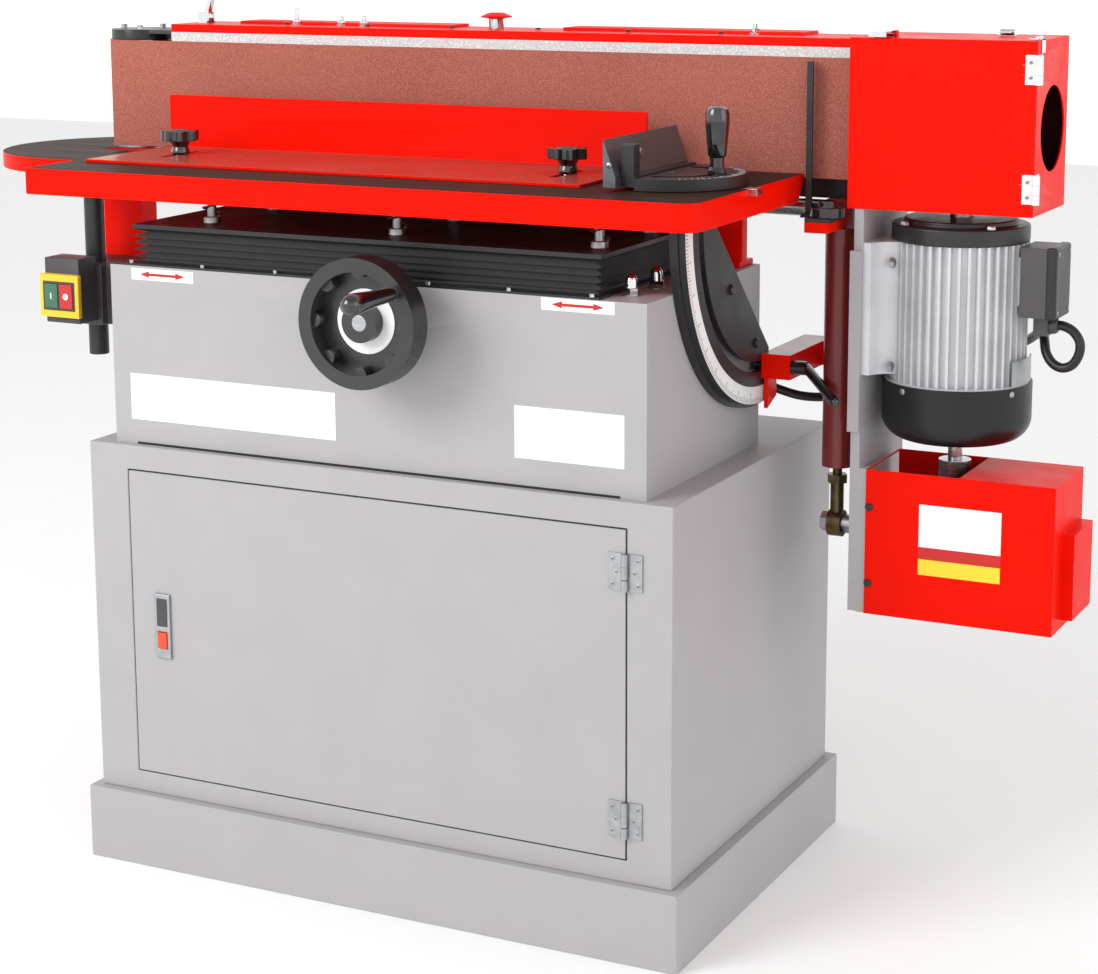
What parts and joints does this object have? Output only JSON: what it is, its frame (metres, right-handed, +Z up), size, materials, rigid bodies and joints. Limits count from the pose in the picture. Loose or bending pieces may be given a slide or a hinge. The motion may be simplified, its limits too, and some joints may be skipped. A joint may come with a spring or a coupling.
{
  "type": "edge sander",
  "caption": "Floor-standing edge sander with an upright oscillating belt, tilting head, liftable table, end table, fence, mitre gauge and storage cabinet.",
  "frame": {"origin": "on the floor under the middle of the cabinet", "axes": "+X along the belt towards the motor, +Y to the back, +Z up"},
  "size_m": [1.6162, 0.7413, 1.1412],
  "materials": {
    "grey_powder_coat": "satin powder coat",
    "red_paint": "gloss paint",
    "dark_red_paint": "gloss paint",
    "black_paint": "satin paint",
    "black_plastic": "moulded",
    "bellows_rubber": "pleated sheet",
    "bright_steel": "turned",
    "zinc_steel": "zinc plated",
    "chrome": "bright",
    "motor_aluminium": "cast",
    "cast_iron": "ground",
    "rod_end_brass": "passivated",
    "abrasive_belt": "coated abrasive",
    "lead_rubber": "smooth",
    "green_button": "moulded",
    "red_button": "moulded",
    "orange_button": "moulded"
  },
  "bodies": {
    "base": {"plinth": "grey_powder_coat", "cabinet": "grey_powder_coat", "upper_box": "grey_powder_coat", "quadrant": "black_paint", "pivot_brackets": "red_paint", "post_clamp": "black_paint", "switch_housing": "black_plastic", "bellows": "bellows_rubber", "bellows_frame": "black_paint", "lift_bushes": "zinc_steel", "door_hinges": "zinc_steel", "lead_span": "lead_rubber"},
    "table": {"main_table": "red_paint", "lift_plate": "black_paint", "levelling_springs": "bright_steel"},
    "handwheel": {"handwheel": "black_plastic", "handwheel_shaft": "bright_steel"},
    "crank_grip": {"crank_grip": "black_plastic"},
    "lift_screw": {"lift_screw": "bright_steel"},
    "fence": {"fence": "red_paint"},
    "fence_knob_left": {"fence_knob_left": "black_plastic"},
    "fence_knob_right": {"fence_knob_right": "black_plastic"},
    "mitre_bar": {"mitre_bar": "bright_steel"},
    "mitre_body": {"mitre_body": "black_paint"},
    "mitre_grip": {"mitre_grip": "black_plastic"},
    "end_table": {"end_table": "red_paint", "end_post": "black_paint", "end_bracket": "red_paint"},
    "door": {"cabinet_door": "grey_powder_coat", "latch_case": "zinc_steel"},
    "latch_button": {"latch_button": "orange_button"},
    "start_button": {"start_button": "green_button"},
    "stop_button": {"stop_button": "red_button"},
    "tilt_frame": {"tilt_shaft": "bright_steel", "tilt_column": "dark_red_paint", "rod_end": "rod_end_brass"},
    "clamp_lever": {"clamp_lever": "black_plastic"},
    "work_stop": {"work_stop": "black_paint"},
    "stop_knob": {"stop_knob": "black_plastic"},
    "head": {"head_frame": "zinc_steel", "platen": "bright_steel", "head_cover": "red_paint", "hood": "red_paint", "motor_plate": "grey_powder_coat", "motor_frame": "motor_aluminium", "motor_bell": "black_paint", "fan_cover": "black_paint", "terminal_box": "black_plastic", "gear_cover": "red_paint", "sanding_belt": "abrasive_belt", "lead_loop": "lead_rubber"},
    "hood_door": {"hood_door": "red_paint"},
    "hood_latch": {"hood_latch": "chrome"},
    "rotor": {"motor_rotor": "bright_steel", "drive_drum": "cast_iron"},
    "idler_slide": {"idler_bracket": "black_paint"},
    "idler_drum": {"idler_drum": "cast_iron"},
    "tension_lever": {"tension_lever": "chrome"},
    "tracking_knob": {"tracking_knob": "red_paint"},
    "eccentric": {"eccentric": "zinc_steel"}
  },
  "joints": [
    {"name": "handwheel_turn", "type": "hinge", "parent": "base", "child": "handwheel", "pos_m": [0.036, -0.253, 0.775], "axis": [0, 1, 0], "range_deg": [0, 6260]},
    {"name": "crank_grip_spin", "type": "hinge", "parent": "handwheel", "child": "crank_grip", "pos_m": [0.09081, -0.338, 0.81691], "axis": [0, 1, 0], "continuous": true},
    {"name": "lift_screw_turn", "type": "hinge", "parent": "base", "child": "lift_screw", "pos_m": [0.036, -0.11, 0.64], "axis": [0, 0, -1], "range_deg": [0, 5410]},
    {"name": "table_lift", "type": "slide", "parent": "base", "child": "table", "axis": [0, 0, 1], "range_m": [0, 0.06], "deforming": ["bellows"]},
    {"name": "fence_slide", "type": "slide", "parent": "table", "child": "fence", "axis": [0, 1, 0], "range_m": [-0.035, 0.035]},
    {"name": "fence_knob_left_turn", "type": "hinge", "parent": "table", "child": "fence_knob_left", "pos_m": [-0.377, -0.1, 0.936], "axis": [0, 0, 1], "continuous": true},
    {"name": "fence_knob_right_turn", "type": "hinge", "parent": "table", "child": "fence_knob_right", "pos_m": [0.203, -0.1, 0.936], "axis": [0, 0, 1], "continuous": true},
    {"name": "mitre_slide", "type": "slide", "parent": "table", "child": "mitre_bar", "axis": [1, 0, 0], "range_m": [-0.01, 0.06]},
    {"name": "mitre_swivel", "type": "hinge", "parent": "mitre_bar", "child": "mitre_body", "pos_m": [0.352, -0.12, 0.94], "axis": [0, 0, 1], "range_deg": [-35, 35]},
    {"name": "mitre_grip_turn", "type": "hinge", "parent": "mitre_bar", "child": "mitre_grip", "pos_m": [0.411, -0.12, 0.955], "axis": [0, 0, 1], "continuous": true},
    {"name": "end_table_lift", "type": "slide", "parent": "base", "child": "end_table", "axis": [0, 0, 1], "range_m": [-0.06, 0.005]},
    {"name": "door_swing", "type": "hinge", "parent": "base", "child": "door", "pos_m": [0.3595, -0.2703, 0.3], "axis": [0, 0, 1], "range_deg": [0, 110]},
    {"name": "latch_press", "type": "slide", "parent": "door", "child": "latch_button", "axis": [0, 1, 0], "range_m": [0, 0.003], "stiffness_N_per_m": 400},
    {"name": "start_press", "type": "slide", "parent": "base", "child": "start_button", "axis": [0, 1, 0], "range_m": [0, 0.002], "stiffness_N_per_m": 600},
    {"name": "stop_press", "type": "slide", "parent": "base", "child": "stop_button", "axis": [0, 1, 0], "range_m": [0, 0.002], "stiffness_N_per_m": 600},
    {"name": "tilt", "type": "hinge", "parent": "base", "child": "tilt_frame", "pos_m": [0, 0.067, 0.892], "axis": [-1, 0, 0], "range_deg": [0, 90], "deforming": ["lead_span"]},
    {"name": "clamp_lever_turn", "type": "hinge", "parent": "tilt_frame", "child": "clamp_lever", "pos_m": [0.45, 0.067, 0.686], "axis": [-1, 0, 0], "range_deg": [0, 45]},
    {"name": "stop_slide", "type": "slide", "parent": "tilt_frame", "child": "work_stop", "axis": [0, -1, 0], "range_m": [0, 0.02]},
    {"name": "stop_knob_turn", "type": "hinge", "parent": "tilt_frame", "child": "stop_knob", "pos_m": [0.504, 0.008, 0.884], "axis": [0, 0, 1], "continuous": true},
    {"name": "oscillation", "type": "slide", "parent": "tilt_frame", "child": "head", "axis": [0, 0, 1], "range_m": [-0.0025, 0.0025], "deforming": ["lead_span"]},
    {"name": "hood_door_swing", "type": "hinge", "parent": "head", "child": "hood_door", "pos_m": [0.7615, 0.0135, 1], "axis": [0, 0, 1], "range_deg": [0, 110]},
    {"name": "hood_latch_turn", "type": "hinge", "parent": "head", "child": "hood_latch", "pos_m": [0.563, 0.044, 1.1123], "axis": [-1, 0, 0], "range_deg": [0, 100]},
    {"name": "motor_spin", "type": "hinge", "parent": "head", "child": "rotor", "pos_m": [0.644, 0.1055, 0.76], "axis": [0, 0, 1], "continuous": true},
    {"name": "idler_slide", "type": "slide", "parent": "head", "child": "idler_slide", "axis": [1, 0, 0], "range_m": [0, 0.01]},
    {"name": "idler_spin", "type": "hinge", "parent": "idler_slide", "child": "idler_drum", "pos_m": [-0.5818, 0.1055, 1], "axis": [0, 0, 1], "continuous": true},
    {"name": "tension_lever_turn", "type": "hinge", "parent": "head", "child": "tension_lever", "pos_m": [-0.47, 0.1055, 1.112], "axis": [0, 1, 0], "range_deg": [0, 60.1]},
    {"name": "tracking_knob_turn", "type": "hinge", "parent": "head", "child": "tracking_knob", "pos_m": [0.01, 0.079, 1.108], "axis": [0, 0, 1], "continuous": true},
    {"name": "eccentric_spin", "type": "hinge", "parent": "head", "child": "eccentric", "pos_m": [0.6, 0.06, 0.491], "axis": [1, 0, 0], "continuous": true}
  ],
  "couplings": [
    {"joint": "handwheel_turn", "follows": "table_lift", "rad_per_m": 1818.2},
    {"joint": "lift_screw_turn", "follows": "table_lift", "rad_per_m": 1573.5},
    {"joint": "idler_spin", "follows": "motor_spin", "ratio": 1},
    {"joint": "eccentric_spin", "follows": "motor_spin", "ratio": 0.05},
    {"joint": "tension_lever_turn", "follows": "idler_slide", "rad_per_m": 104.72}
  ]
}
